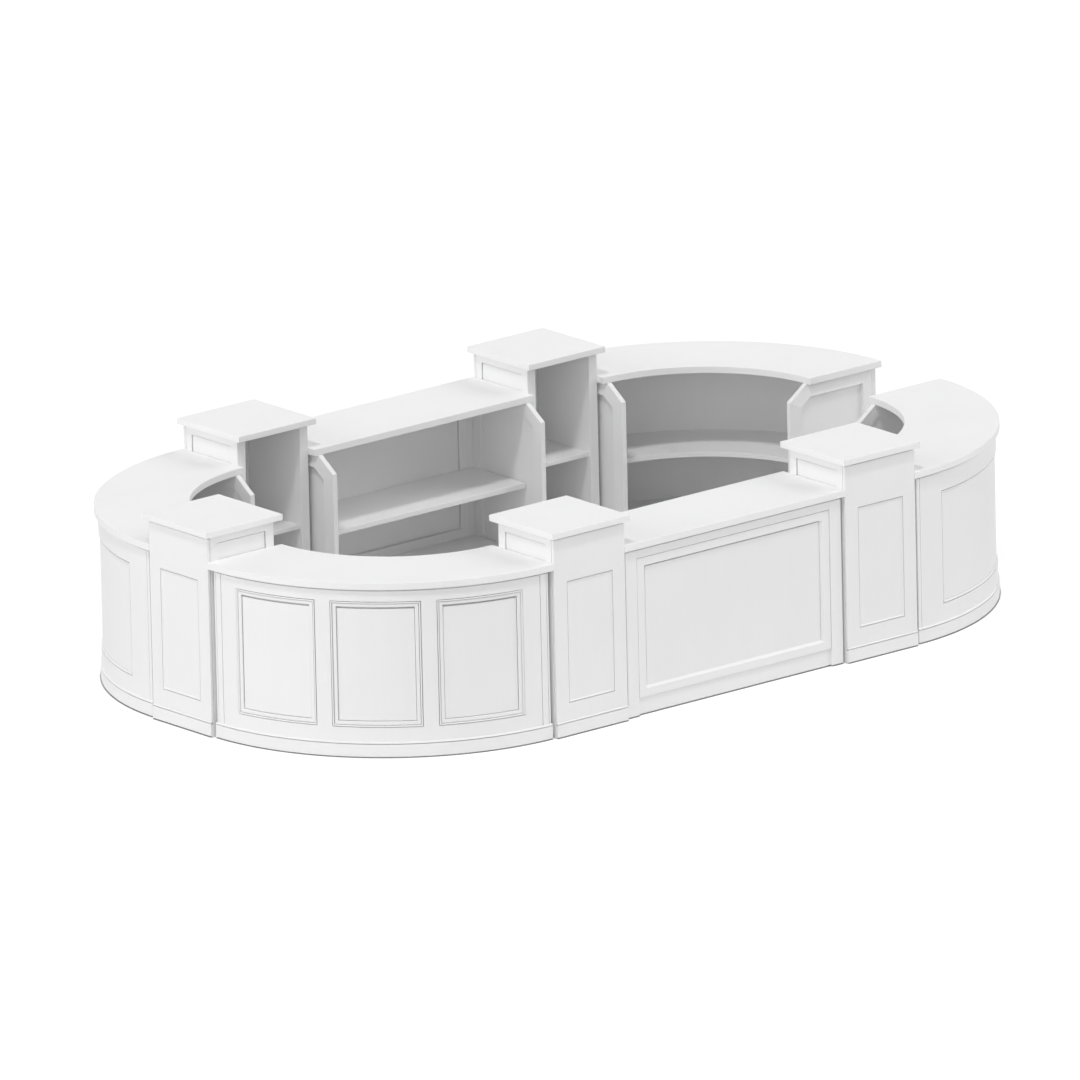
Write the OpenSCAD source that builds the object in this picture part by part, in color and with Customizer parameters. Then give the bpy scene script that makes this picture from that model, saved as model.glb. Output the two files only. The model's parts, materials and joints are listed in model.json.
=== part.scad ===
// Modular bar counter with shelves: five square pillars, two straight bars and
// four quarter round bars that stand side by side as one long island. The public
// side is panelled all round. The working side is open, with shelves. The tip at
// +X is left open, one pillar wide, as the way in for the staff.
// Millimetres, +Z up, origin on the floor in the middle of the outline.

/* [Tops] */
// Length of a straight top between two pillars
straight_len = 1700; // [1300:1:2400]
// Inner radius of the quarter round tops, on the working side
curve_in_r = 876; // [800:1:1200]
// Depth of every top from its public edge to its working edge
top_d = 566; // [520:1:640]
// Height of the tops below the tops of the pillar caps
top_drop = 189; // [100:1:300]
// Thickness of the tops
top_t = 42; // [28:1:60]
// How far the tops stand proud of the pillar boards
top_proud = 4; // [0:1:12]

/* [Pillars] */
// Width of a pillar between the two bars beside it
pillar_w = 540; // [460:1:660]
// Distance from the middle of a pillar to the face of its public board
pillar_front = 264; // [230:1:300]
// Distance from the middle of a pillar to its open working side
pillar_back = 240; // [200:1:280]
// Height of a pillar with its cap
pillar_h = 1256; // [1150:1:1400]
// Thickness of the cap
cap_t = 38; // [24:1:56]
// Overhang of the cap at the two sides
cap_side = 27; // [10:1:45]
// Overhang of the cap on the public side
cap_front = 26; // [10:1:45]
// Overhang of the cap on the working side
cap_back = 50; // [20:1:80]
// Thickness of the public board
face_t = 20; // [16:1:30]
// Thickness of each built-up side
side_t = 62; // [40:1:80]

/* [Pillar panels] */
// Width of the plain margin at each side of the sunk panel
face_stile = 95; // [60:1:130]
// Height of the plain margin between the plinth and the sunk panel
face_low_rail = 104; // [70:1:160]
// Height of the plain band above the sunk panel
face_top_rail = 278; // [120:1:360]
// Depth of the sunk panel
face_recess = 8; // [4:1:12]
// Width of the sloping edge round the sunk panel
face_bevel = 14; // [6:1:24]
// Width of the margin of a side panel next to the public board
side_front_stile = 55; // [35:1:80]
// Width of the margin of a side panel on the working side
side_back_stile = 60; // [40:1:80]
// Height of the margin of a side panel under the cap
side_top_rail = 48; // [30:1:80]
// Depth of the side panel
side_recess = 6; // [3:1:10]

/* [Pillar shelves] */
// Height of the top of the pillar shelf above the floor
pillar_shelf_h = 600; // [400:1:800]
// Thickness of the pillar shelf and of the pillar floor
pillar_shelf_t = 24; // [16:1:36]
// Setback of the pillar shelf from the working side
pillar_shelf_in = 16; // [4:1:40]

/* [Plinths] */
// Height of the plinths
plinth_h = 96; // [70:1:130]
// How far a pillar plinth stands proud of the public board
plinth_proud = 6; // [3:1:15]
// Depth of a pillar plinth
plinth_d = 50; // [36:1:70]
// Size of the sloping arris along the top of a pillar plinth
plinth_arris = 5; // [2:1:6]
// How far a curved plinth stands proud of the curved front
curve_plinth_proud = 8; // [4:1:15]
// Thickness of a curved plinth
curve_plinth_t = 28; // [20:1:36]
// Setback of a curved plinth from the ends of its top
curve_plinth_in = 24; // [16:1:28]

/* [Bar bodies] */
// Setback of the bar fronts from the public edge of the tops
front_in = 24; // [16:1:40]
// Thickness of the bar fronts
front_t = 30; // [26:1:40]
// Setback of the end panels from the ends of the tops
end_in = 30; // [30:1:45]
// Thickness of the end panels
end_t = 32; // [26:1:45]
// How far the end panels reach past the working edge of the tops
end_nose = 132; // [100:1:170]
// Height of the sloping corner of the end panels
end_slope = 94; // [60:1:140]
// Width of the frame members of the end panels
end_member = 78; // [60:1:90]
// Thickness of the infill boards of the end panels
end_infill_t = 12; // [8:1:18]

/* [Bar shelves] */
// Height of the top of the bar shelves above the floor
shelf_h = 528; // [420:1:680]
// Height of the top of the lowest boards above the floor
floor_h = 105; // [96:1:130]
// Thickness of the bar shelves and of the lowest boards
shelf_t = 30; // [20:1:40]
// Setback of the bar shelves from the working edge of the tops
shelf_in = 22; // [10:1:60]

/* [Straight fronts] */
// Setback of the corner posts from the ends of a straight top
post_in = 20; // [5:1:25]
// Width of the corner posts
post_w = 87; // [70:1:120]
// Height of the top rail
top_rail_h = 62; // [40:1:90]
// Height of the lower rail
low_rail_h = 95; // [60:1:120]
// Gap between the lower rail and the floor
low_rail_gap = 10; // [5:1:20]
// Setback of the lower rail from the corner posts
low_rail_in = 7; // [4:1:10]
// Setback of the flat band from the corner posts
band_in = 3; // [1:1:4]
// Width of the flat band round the sunk panel
band_w = 54; // [35:1:75]
// Depth of the sunk panel below the flat band
panel_recess = 12; // [5:1:13]
// Width of the sloping edge round the sunk panel
panel_bevel = 16; // [6:1:22]
// Setback of the infill board from the back of the front
infill_back_in = 2; // [1:1:4]

/* [Curved front with stepped panels] */
// Number of sunk panels in the front
curve_panels = 3; // [2:1:5]
// Plain margin at each end of the front, measured on its face
curve_stile = 212; // [150:1:260]
// Plain margin between two sunk panels, measured on the face
curve_gap = 92; // [60:1:130]
// Height of the plain margin between the plinth and the sunk panels
curve_low_rail = 86; // [50:1:120]
// Height of the plain margin between the sunk panels and the top
curve_top_rail = 77; // [50:1:120]
// Depth of the outer step of a sunk panel
curve_step = 4; // [2:1:6]
// Width of the flat strip between the two steps
curve_strip = 38; // [22:1:48]
// Depth of the field of a sunk panel
curve_recess = 12; // [8:1:14]
// Distance of the upright groove from the end of the top, on the face
groove_at = 88; // [60:1:120]
// Width of the upright groove
groove_w = 4; // [2:1:8]
// Depth of the upright groove
groove_d = 3; // [2:1:6]

/* [Curved fronts with one wide panel] */
// Plain margin at each end of the front, measured on its face
wide_stile = 240; // [180:1:320]
// Height of the plain margin between the plinth and the panel
wide_low_rail = 104; // [60:1:140]
// Height of the plain margin between the panel and the top
wide_top_rail = 129; // [60:1:160]
// Depth of the panel
wide_recess = 8; // [4:1:12]

/* [Fit] */
// Gap between a board and the curved or framed piece that holds it
seat_gap = 0.3; // [0.1:0.1:0.6]

/* [Hidden] */
// overrun of every cut past the solid it opens
over = 1;
// steps round a full turn of the large radii
fine = 256;

// heights that pieces share
bar_h = pillar_h - top_drop;
top_under = bar_h - top_t;
cap_under = pillar_h - cap_t;

// plan of the island
pillar_half = pillar_w / 2;
curve_out_r = curve_in_r + top_d;
reach = pillar_front + top_proud;
line_y = pillar_half + curve_out_r - reach;
left_reach = pillar_half + curve_out_r - reach + pillar_front + cap_front;
right_reach = straight_len + pillar_w + pillar_half + curve_out_r;
left_x = (left_reach - right_reach) / 2;
right_x = left_x + straight_len + pillar_w;
tip_x = left_x - pillar_half - curve_out_r + reach;

// pillar
face_back = pillar_front - face_t;
plinth_front = pillar_front + plinth_proud;
bay_w = pillar_w - 2 * side_t;

// curved front
face_r = curve_out_r - front_in;
back_r = face_r - front_t;
face_arc = face_r * PI / 2;
panel_arc = (face_arc - 2 * curve_stile - (curve_panels - 1) * curve_gap) / curve_panels;
curve_end_d = curve_out_r - sqrt(pow(back_r, 2) - pow(end_in + end_t, 2)) + seat_gap;

// straight front
front_half = straight_len / 2 - post_in;
band_half = front_half - post_w;
band_low = low_rail_gap + low_rail_h;
band_top = top_under - top_rail_h;
panel_half = band_half - band_w;
panel_low = band_low + band_w;
panel_top = band_top - band_w;

// end panels
slope_len = norm([end_nose, end_slope]);
nose_d = top_d + end_nose;

// Where each module stands. A module is drawn with its public side towards -Y.
module at_back_left() { translate([left_x, line_y, 0]) rotate([0, 0, 180]) children(); }
module at_tip() { translate([tip_x, 0, 0]) rotate([0, 0, -90]) children(); }
module at_front_left() { translate([left_x, -line_y, 0]) children(); }
module at_front_right() { translate([right_x, -line_y, 0]) children(); }
module at_back_right() { translate([right_x, line_y, 0]) rotate([0, 0, 180]) children(); }
module at_front_bar() { translate([(left_x + right_x) / 2, -line_y, 0]) children(); }
module at_back_bar() { translate([(left_x + right_x) / 2, line_y, 0]) rotate([0, 0, 180]) children(); }

// A quarter is drawn round its own centre, between -X and -Y.
module at_back_left_curve() {
    translate([left_x - pillar_half, pillar_half, 0]) rotate([0, 0, -90]) children();
}
module at_front_left_curve() {
    translate([left_x - pillar_half, -pillar_half, 0]) children();
}
module at_front_right_curve() {
    translate([right_x + pillar_half, -pillar_half, 0]) rotate([0, 0, 90]) children();
}
module at_back_right_curve() {
    translate([right_x + pillar_half, pillar_half, 0]) rotate([0, 0, 180]) children();
}

// A sinking with sloping edges, w by h at the face, cut towards +Y from y = 0
module sunk_panel(w, h, depth, bevel) {
    intersection() {
        translate([0, 0, -h / 2])
            linear_extrude(h)
                sunk_profile(w, depth, bevel);
        translate([-w / 2, 0, 0])
            rotate([90, 0, 90])
                linear_extrude(w)
                    mirror([1, -1])
                        sunk_profile(h, depth, bevel);
    }
}

// Section of a sinking: w wide at y = 0, narrower by a bevel on each side below
module sunk_profile(w, depth, bevel) {
    polygon([
        [-w / 2, -over], [w / 2, -over],
        [w / 2, 0], [w / 2 - bevel, depth],
        [-w / 2 + bevel, depth], [-w / 2, 0]
    ]);
}

// Cap: one thick board that overhangs the pillar all round
module pillar_cap() {
    color("whitesmoke")
        translate([-pillar_half - cap_side, -pillar_front - cap_front, cap_under])
            cube([pillar_w + 2 * cap_side, pillar_front + pillar_back + cap_front + cap_back, cap_t]);
}

// Public board with one sunk panel, standing on the plinth
module pillar_face() {
    field_h = cap_under - plinth_h - face_low_rail - face_top_rail;
    color("white")
        difference() {
            translate([-pillar_half, -pillar_front, plinth_h])
                cube([pillar_w, face_t, cap_under - plinth_h]);
            translate([0, -pillar_front, plinth_h + face_low_rail + field_h / 2])
                sunk_panel(pillar_w - 2 * face_stile, field_h, face_recess, face_bevel);
        }
}

// Two built-up sides, each with one sunk panel outside, notched over the plinth
module pillar_sides() {
    color("white") {
        pillar_side();
        mirror([1, 0, 0]) pillar_side();
    }
}

module pillar_side() {
    depth = face_back + pillar_back;
    field_d = depth - side_front_stile - side_back_stile;
    field_h = cap_under - plinth_h - side_top_rail;
    difference() {
        translate([-pillar_half, -face_back, 0])
            cube([side_t, depth, cap_under]);
        translate([-pillar_half - over, -plinth_front - over, -over])
            cube([side_t + 2 * over, plinth_d + over, plinth_h + over]);
        translate([-pillar_half - over, -face_back + side_front_stile, plinth_h])
            cube([side_recess + over, field_d, field_h]);
    }
}

// Shelf and floor board between the two sides
module pillar_shelves() {
    color("gainsboro") {
        translate([-bay_w / 2, -face_back, pillar_shelf_h - pillar_shelf_t])
            cube([bay_w, face_back + pillar_back - pillar_shelf_in, pillar_shelf_t]);
        translate([-bay_w / 2, plinth_d - plinth_front, plinth_h - pillar_shelf_t])
            cube([bay_w, plinth_front - plinth_d + pillar_back - pillar_shelf_in, pillar_shelf_t]);
    }
}

// Plinth block under the public board, its top arris sloped
module pillar_plinth() {
    color("white")
        translate([-pillar_half, 0, 0])
            rotate([90, 0, 90])
                linear_extrude(pillar_w)
                    polygon([
                        [-plinth_front, 0],
                        [plinth_d - plinth_front, 0],
                        [plinth_d - plinth_front, plinth_h],
                        [-plinth_front + plinth_arris, plinth_h],
                        [-plinth_front, plinth_h - plinth_arris]
                    ]);
}

// Straight top
module straight_top() {
    color("whitesmoke")
        translate([-straight_len / 2, -reach, top_under])
            cube([straight_len, top_d, top_t]);
}

// Straight front: corner posts to the floor, rails and a flat band round the panel
module straight_frame() {
    color("white")
        translate([0, front_in - reach, 0])
            difference() {
                translate([-front_half, 0, 0])
                    cube([2 * front_half, front_t, top_under]);
                translate([-band_half, -over, -over])
                    cube([2 * band_half, front_t + 2 * over, low_rail_gap + over]);
                translate([-band_half, -over, -over])
                    cube([2 * band_half, low_rail_in + over, band_low + over]);
                translate([-band_half, -over, band_low])
                    cube([2 * band_half, band_in + over, band_top - band_low]);
                translate([0, band_in, (panel_low + panel_top) / 2])
                    sunk_panel(2 * panel_half, panel_top - panel_low, panel_recess, panel_bevel);
                translate([panel_bevel - panel_half, 0, panel_low + panel_bevel])
                    cube([
                        2 * (panel_half - panel_bevel), front_t + over,
                        panel_top - panel_low - 2 * panel_bevel
                    ]);
            }
}

// Infill board of a straight front, let into the frame from behind
module straight_infill() {
    inset = panel_bevel + seat_gap;
    translate([inset - panel_half, front_in - reach + band_in + panel_recess, panel_low + inset])
        cube([
            2 * (panel_half - inset),
            front_t - band_in - panel_recess - infill_back_in,
            panel_top - panel_low - 2 * inset
        ]);
}

// Outline of an end panel: d is the depth from the public edge of the top
module end_outline(d) {
    polygon([
        [d, 0], [d, top_under], [top_d, top_under],
        [nose_d, top_under - end_slope], [nose_d, 0]
    ]);
}

// Opening in an end panel, every member of the frame m wide
module end_opening(d, m) {
    polygon([
        [d + m, m],
        [d + m, top_under - m],
        [top_d - m * (slope_len - end_nose) / end_slope, top_under - m],
        [nose_d - m, top_under - (m * slope_len + (end_nose - m) * end_slope) / end_nose],
        [nose_d - m, m]
    ]);
}

module end_frame(d) {
    linear_extrude(end_t)
        difference() {
            end_outline(d);
            end_opening(d, end_member);
        }
}

module end_infill(d) {
    translate([0, 0, (end_t - end_infill_t) / 2])
        linear_extrude(end_infill_t)
            end_opening(d, end_member + seat_gap);
}

// Stands an end panel on edge at both ends of a straight bar
module straight_ends() {
    for (side = [-1, 1])
        translate([side * (straight_len / 2 - end_in - end_t / 2) - end_t / 2, -reach, 0])
            rotate([90, 0, 90])
                children();
}

module straight_end_frames() {
    color("white") straight_ends() end_frame(front_in + front_t);
}

module straight_infills() {
    color("gainsboro") {
        straight_infill();
        straight_ends() end_infill(front_in + front_t);
    }
}

// Shelf and lowest board of a straight bar, held between the end panels
module straight_shelves() {
    half = straight_len / 2 - end_in - end_t;
    color("gainsboro")
        for (z = [shelf_h, floor_h])
            translate([-half, front_in + front_t - reach, z - shelf_t])
                cube([2 * half, top_d - shelf_in - front_in - front_t, shelf_t]);
}

// Quarter ring between two radii and two heights, cut back from both end planes
module quarter(r_in, r_out, z_low, z_high, back) {
    intersection() {
        rotate([0, 0, 180])
            rotate_extrude(angle = 90, $fn = fine)
                translate([r_in, z_low])
                    square([r_out - r_in, z_high - z_low]);
        translate([-r_out - over, -r_out - over, z_low - over])
            cube([r_out + over - back, r_out + over - back, z_high - z_low + 2 * over]);
    }
}

// Part of a ring, its start and length measured along the face of the front
module face_cut(from, length, r_in, z_low, z_high) {
    rotate([0, 0, 180 + from / face_arc * 90])
        rotate_extrude(angle = length / face_arc * 90, $fn = fine)
            translate([r_in, z_low])
                square([face_r + over - r_in, z_high - z_low]);
}

// Quarter round top
module curve_top() {
    color("whitesmoke")
        rotate([0, 0, 180])
            rotate_extrude(angle = 90, $fn = fine)
                translate([curve_in_r, top_under])
                    square([top_d, top_t]);
}

// Curved board of a front before anything is cut into it, standing on its plinth
module curve_board() {
    quarter(back_r, face_r, plinth_h, top_under, end_in);
}

// Curved front with one wide sunk panel
module wide_front() {
    low = plinth_h + wide_low_rail;
    high = top_under - wide_top_rail;
    color("white")
        difference() {
            curve_board();
            face_cut(wide_stile, face_arc - 2 * wide_stile, face_r - wide_recess, low, high);
        }
}

// Curved front with a row of stepped sunk panels and a groove near each end
module stepped_front() {
    low = plinth_h + curve_low_rail;
    high = top_under - curve_top_rail;
    color("white")
        difference() {
            curve_board();
            for (i = [0 : curve_panels - 1]) {
                from = curve_stile + i * (panel_arc + curve_gap);
                face_cut(from, panel_arc, face_r - curve_step, low, high);
                face_cut(
                    from + curve_strip, panel_arc - 2 * curve_strip,
                    face_r - curve_recess, low + curve_strip, high - curve_strip
                );
            }
            for (from = [groove_at, face_arc - groove_at - groove_w])
                face_cut(from, groove_w, face_r - groove_d, plinth_h - over, top_under + over);
        }
}

// Curved plinth under the front
module curve_plinth() {
    proud_r = face_r + curve_plinth_proud;
    color("white")
        quarter(proud_r - curve_plinth_t, proud_r, 0, plinth_h, curve_plinth_in);
}

// Stands an end panel on edge at both ends of a quarter
module curve_ends() {
    curve_end() children();
    mirror([1, -1, 0]) curve_end() children();
}

module curve_end() {
    translate([-curve_out_r, -end_in, 0])
        rotate([90, 0, 0])
            children();
}

module curve_end_frames() {
    color("white") curve_ends() end_frame(curve_end_d);
}

module curve_infills() {
    color("gainsboro") curve_ends() end_infill(curve_end_d);
}

// Shelf and lowest board of a quarter, held between the end panels
module curve_shelves() {
    color("gainsboro")
        for (z = [shelf_h, floor_h])
            quarter(
                curve_in_r + shelf_in, back_r - seat_gap,
                z - shelf_t, z, end_in + end_t
            );
}

at_back_left() pillar_cap();  // back_left_pillar_cap
at_back_left() pillar_face();  // back_left_pillar_face
at_back_left() pillar_sides();  // back_left_pillar_sides
at_back_left() pillar_shelves();  // back_left_pillar_shelves
at_back_left() pillar_plinth();  // back_left_pillar_plinth

at_tip() pillar_cap();  // tip_pillar_cap
at_tip() pillar_face();  // tip_pillar_face
at_tip() pillar_sides();  // tip_pillar_sides
at_tip() pillar_shelves();  // tip_pillar_shelves
at_tip() pillar_plinth();  // tip_pillar_plinth

at_front_left() pillar_cap();  // front_left_pillar_cap
at_front_left() pillar_face();  // front_left_pillar_face
at_front_left() pillar_sides();  // front_left_pillar_sides
at_front_left() pillar_shelves();  // front_left_pillar_shelves
at_front_left() pillar_plinth();  // front_left_pillar_plinth

at_front_right() pillar_cap();  // front_right_pillar_cap
at_front_right() pillar_face();  // front_right_pillar_face
at_front_right() pillar_sides();  // front_right_pillar_sides
at_front_right() pillar_shelves();  // front_right_pillar_shelves
at_front_right() pillar_plinth();  // front_right_pillar_plinth

at_back_right() pillar_cap();  // back_right_pillar_cap
at_back_right() pillar_face();  // back_right_pillar_face
at_back_right() pillar_sides();  // back_right_pillar_sides
at_back_right() pillar_shelves();  // back_right_pillar_shelves
at_back_right() pillar_plinth();  // back_right_pillar_plinth

at_front_bar() straight_top();  // front_bar_top
at_front_bar() straight_frame();  // front_bar_frame
at_front_bar() straight_infills();  // front_bar_infills
at_front_bar() straight_end_frames();  // front_bar_end_frames
at_front_bar() straight_shelves();  // front_bar_shelves

at_back_bar() straight_top();  // back_bar_top
at_back_bar() straight_frame();  // back_bar_frame
at_back_bar() straight_infills();  // back_bar_infills
at_back_bar() straight_end_frames();  // back_bar_end_frames
at_back_bar() straight_shelves();  // back_bar_shelves

at_back_left_curve() curve_top();  // back_left_curve_top
at_back_left_curve() wide_front();  // back_left_curve_front
at_back_left_curve() curve_plinth();  // back_left_curve_plinth
at_back_left_curve() curve_end_frames();  // back_left_curve_end_frames
at_back_left_curve() curve_infills();  // back_left_curve_infills
at_back_left_curve() curve_shelves();  // back_left_curve_shelves

at_front_left_curve() curve_top();  // front_left_curve_top
at_front_left_curve() stepped_front();  // front_left_curve_front
at_front_left_curve() curve_plinth();  // front_left_curve_plinth
at_front_left_curve() curve_end_frames();  // front_left_curve_end_frames
at_front_left_curve() curve_infills();  // front_left_curve_infills
at_front_left_curve() curve_shelves();  // front_left_curve_shelves

at_front_right_curve() curve_top();  // front_right_curve_top
at_front_right_curve() wide_front();  // front_right_curve_front
at_front_right_curve() curve_plinth();  // front_right_curve_plinth
at_front_right_curve() curve_end_frames();  // front_right_curve_end_frames
at_front_right_curve() curve_infills();  // front_right_curve_infills
at_front_right_curve() curve_shelves();  // front_right_curve_shelves

at_back_right_curve() curve_top();  // back_right_curve_top
at_back_right_curve() wide_front();  // back_right_curve_front
at_back_right_curve() curve_plinth();  // back_right_curve_plinth
at_back_right_curve() curve_end_frames();  // back_right_curve_end_frames
at_back_right_curve() curve_infills();  // back_right_curve_infills
at_back_right_curve() curve_shelves();  // back_right_curve_shelves
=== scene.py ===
"""Looks of the bar counter with shelves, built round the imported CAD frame.

Every board of the CAD model is made again here as painted joinery, with rounded
arrises, mouldings and joint lines, and stands for its CAD node. Lengths in metres.
A module is drawn in its own frame, its public side towards -Y, and then put in place.
"""
import json
import math

import bmesh
import bpy
from mathutils import Matrix, Vector


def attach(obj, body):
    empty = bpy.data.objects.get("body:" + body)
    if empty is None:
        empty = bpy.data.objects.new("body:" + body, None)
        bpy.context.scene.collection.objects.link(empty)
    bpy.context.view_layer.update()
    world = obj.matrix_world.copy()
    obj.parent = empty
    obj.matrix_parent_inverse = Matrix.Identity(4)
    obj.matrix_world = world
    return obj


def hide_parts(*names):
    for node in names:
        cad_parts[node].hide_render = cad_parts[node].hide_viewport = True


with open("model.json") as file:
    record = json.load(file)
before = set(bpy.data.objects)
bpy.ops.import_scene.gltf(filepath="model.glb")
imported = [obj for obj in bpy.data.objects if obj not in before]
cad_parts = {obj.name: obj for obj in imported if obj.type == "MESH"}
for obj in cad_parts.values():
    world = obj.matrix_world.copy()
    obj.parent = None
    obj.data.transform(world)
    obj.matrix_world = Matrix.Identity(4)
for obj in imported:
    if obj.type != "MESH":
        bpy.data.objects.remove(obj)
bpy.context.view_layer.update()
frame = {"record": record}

# Sizes, as in the CAD

# Underside and upper face of the tops, and of the pillars' caps
TOP_UNDER, BAR_H = 1.025, 1.067
CAP_UNDER, PILLAR_H = 1.218, 1.256
# Pillars: half the width, public and working face from the middle, overhangs of the cap, boards, plinth
PILLAR_HALF, PILLAR_FRONT, PILLAR_BACK = 0.270, 0.264, 0.240
CAP_SIDE, CAP_FRONT, CAP_BACK = 0.027, 0.026, 0.050
FACE_T, SIDE_T = 0.020, 0.062
PLINTH_H, PLINTH_PROUD, PLINTH_D = 0.096, 0.006, 0.050
# Bars: public edge of a top from the middle line of its row, tops and fronts, end panels, shelves,
# curved bars
REACH = 0.268
STRAIGHT_HALF, TOP_D, FRONT_IN, FRONT_T = 0.850, 0.566, 0.024, 0.030
END_IN, END_T, END_NOSE, END_SLOPE, END_MEMBER = 0.030, 0.032, 0.132, 0.094, 0.078
END_INFILL_T, SEAT_GAP = 0.012, 0.0003
SHELF_Z, FLOOR_Z, SHELF_T, SHELF_IN = 0.528, 0.105, 0.030, 0.022
R_IN, R_OUT = 0.876, 1.442
R_FACE = R_OUT - FRONT_IN
R_BACK = R_FACE - FRONT_T
NOSE_D = TOP_D + END_NOSE

# Where the modules stand: x, y and turn about Z in degrees
LEFT_X, RIGHT_X, LINE_Y, TIP_X = -1.109, 1.131, 1.444, -2.553
PILLARS = {
    "back_left": (LEFT_X, LINE_Y, 180), "tip": (TIP_X, 0.0, -90), "front_left": (LEFT_X, -LINE_Y, 0),
    "front_right": (RIGHT_X, -LINE_Y, 0), "back_right": (RIGHT_X, LINE_Y, 180),
}
MID_X = (LEFT_X + RIGHT_X) / 2
BARS = {"front_bar": (MID_X, -LINE_Y, 0), "back_bar": (MID_X, LINE_Y, 180)}
CURVES = {
    "back_left_curve": (LEFT_X - PILLAR_HALF, PILLAR_HALF, -90),
    "front_left_curve": (LEFT_X - PILLAR_HALF, -PILLAR_HALF, 0),
    "front_right_curve": (RIGHT_X + PILLAR_HALF, -PILLAR_HALF, 90),
    "back_right_curve": (RIGHT_X + PILLAR_HALF, PILLAR_HALF, 180),
}

TOPS, PUBLIC = "white_paint_tops", "white_paint_public"
PANELS, INSIDE = "white_paint_panels", "white_paint_inside"

# Finer joinery, for looks

# Where a size here differs from the CAD by a few millimetres, as the lower rail's gap and setback do,
# it comes from a later look at the photograph.

# Radii of the rounded arrises: tops and caps, bodies, mitred joints, shelves, thin boards, hidden edges
ARRIS_TOP, ARRIS_BODY, ARRIS_JOINT = 0.0035, 0.0025, 0.0012
ARRIS_SHELF, ARRIS_PILLAR_SHELF = 0.0020, 0.0018
ARRIS_THIN, ARRIS_INFILL, ARRIS_HIDDEN = 0.0008, 0.0006, 0.0004
# Steps across an arris, and in degrees the least angle of an edge that gets one and of one shaded sharp
ARRIS_SEGMENTS, SHARP_ANGLE, SMOOTH_ANGLE = 3, 28, 40

# Pillars: panel in the public board, margins of the side panels, joint between a side and the public
# board and what fills it, shelf
FACE_PANEL = (-0.175, 0.175, 0.200, 0.940)
SIDE_MARGIN_FRONT, SIDE_MARGIN_BACK, SIDE_MARGIN_TOP = 0.055, 0.060, 0.048
SIDE_JOINT, FILLER_IN, FILLER_LAP = 0.0035, 0.012, 0.004
PILLAR_SHELF_Z, PILLAR_SHELF_T, PILLAR_SHELF_IN = 0.600, 0.024, 0.016

# Straight fronts: posts, rails, the flat band round the panel, and the infill board
POST_IN, POST_W, POST_FOOT_IN = 0.020, 0.087, 0.006
BAND_HALF = STRAIGHT_HALF - POST_IN - POST_W
BAND_LOW, BAND_HIGH, BAND_W, BAND_IN = 0.105, 0.963, 0.054, 0.003
RAIL_GAP, RAIL_IN = 0.009, 0.014
PANEL_BEVEL, HEAD_BEVEL = 0.016, 0.0015
LIP_D, SLOT_D, SLOT_W = 0.0165, 0.0180, 0.012
FIELD_IN, FIELD_T, FIELD_SIDE_GAP, FIELD_HEAD_GAP = 0.015, 0.003, 0.0025, 0.009
BACKING_IN, BACKING_BACK = 0.010, 0.002
FRAME_Y = FRONT_IN - REACH

# Curved fronts: margins below and above the panels, at the ends and between them, their number, and the
# upright grooves as (place along the face, width, depth)
STEPPED_FRONT = {
    "low": PLINTH_H + 0.086, "high": TOP_UNDER - 0.077, "stile": 0.212, "gap": 0.092, "count": 3,
    "grooves": ((END_IN + 0.012, 0.0040, 0.0100), (0.0865, 0.0060, 0.0120)),
}
WIDE_FRONT = {
    "low": PLINTH_H + 0.104, "high": TOP_UNDER - 0.129, "stile": 0.240, "gap": 0.0, "count": 1,
    "grooves": ((END_IN + 0.022, 0.0040, 0.0080),),
}
# Arris at both ends of a curved front, and eased edge of its grooves
END_EASE = [(0.0, 0.0030), (0.0004, 0.0015), (0.0014, 0.0005), (0.0030, 0.0)]
GROOVE_EASE, GROOVE_SLANT, GROOVE_ARRIS = 0.0006, 0.0004, 0.0005
COLUMN_STEP, COLUMN_SPARE = 0.020, 0.030
RING_IN = 0.003
CURVE_PLINTH_PROUD, CURVE_PLINTH_D, CURVE_PLINTH_IN = 0.008, 0.028, 0.024
TOP_STEPS, PLINTH_STEPS, SHELF_STEPS, RING_STEPS = 120, 110, 100, 96

# Section of the mouldings: (distance inwards from the edge of the sinking, depth), and where the head
# differs from the sides and the foot its own distance as a third value. A quirk is a slot that widens
# behind the surface, as where two boards meet over a rebate.
PILLAR_MOULD = [
    (0.0, 0.0), (0.0003, 0.0070), (-0.0060, 0.0080), (-0.0060, 0.0170), (0.0100, 0.0170),
    (0.0100, 0.0080), (0.0042, 0.0070), (0.0045, 0.0012), (0.0052, 0.0012), (0.0078, 0.0030),
    (0.0104, 0.0054), (0.0122, 0.0070), (0.0134, 0.0078), (0.0140, 0.0080),
]
SIDE_MOULD = [
    (0.0, 0.0), (0.0003, 0.0080), (-0.0080, 0.0100), (-0.0080, 0.0260), (0.0120, 0.0260),
    (0.0120, 0.0120), (0.0046, 0.0100), (0.0049, 0.0064), (0.0056, 0.0060),
]
BAND_MOULD = [
    (0.0, 0.0), (0.0006, 0.0009, 0.0003), (0.0018, 0.0018, 0.0005), (0.0045, 0.0034, 0.0007),
    (0.0090, 0.0068, 0.0009), (0.0130, 0.0102, 0.0011), (0.0150, 0.0117, 0.0013),
    (0.0160, 0.0120, 0.0015),
]
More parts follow.
